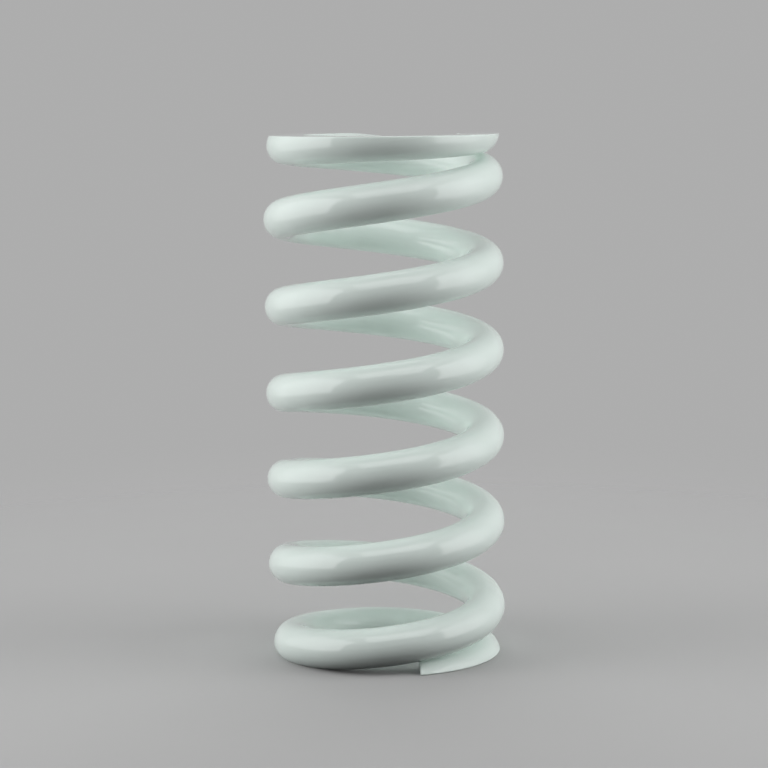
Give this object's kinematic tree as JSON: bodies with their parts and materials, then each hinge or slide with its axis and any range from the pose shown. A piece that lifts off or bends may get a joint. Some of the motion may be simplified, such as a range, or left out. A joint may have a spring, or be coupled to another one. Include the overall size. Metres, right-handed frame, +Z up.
{
  "type": "shock spring",
  "caption": "Compression coil spring of round wire for a coil-over shock absorber, right-hand wound, closed and ground at both ends, painted pale green-white.",
  "frame": {"origin": "centre of the bottom ground face's plane, on the spring's axis", "axes": "+Z up along the spring's axis, -Y towards the side that the picture shows, +X to the picture's right"},
  "size_m": [0.0942, 0.0943, 0.2058],
  "materials": {
    "paint": "gloss"
  },
  "bodies": {
    "root": {"coil_spring": "paint"}
  },
  "joints": []
}
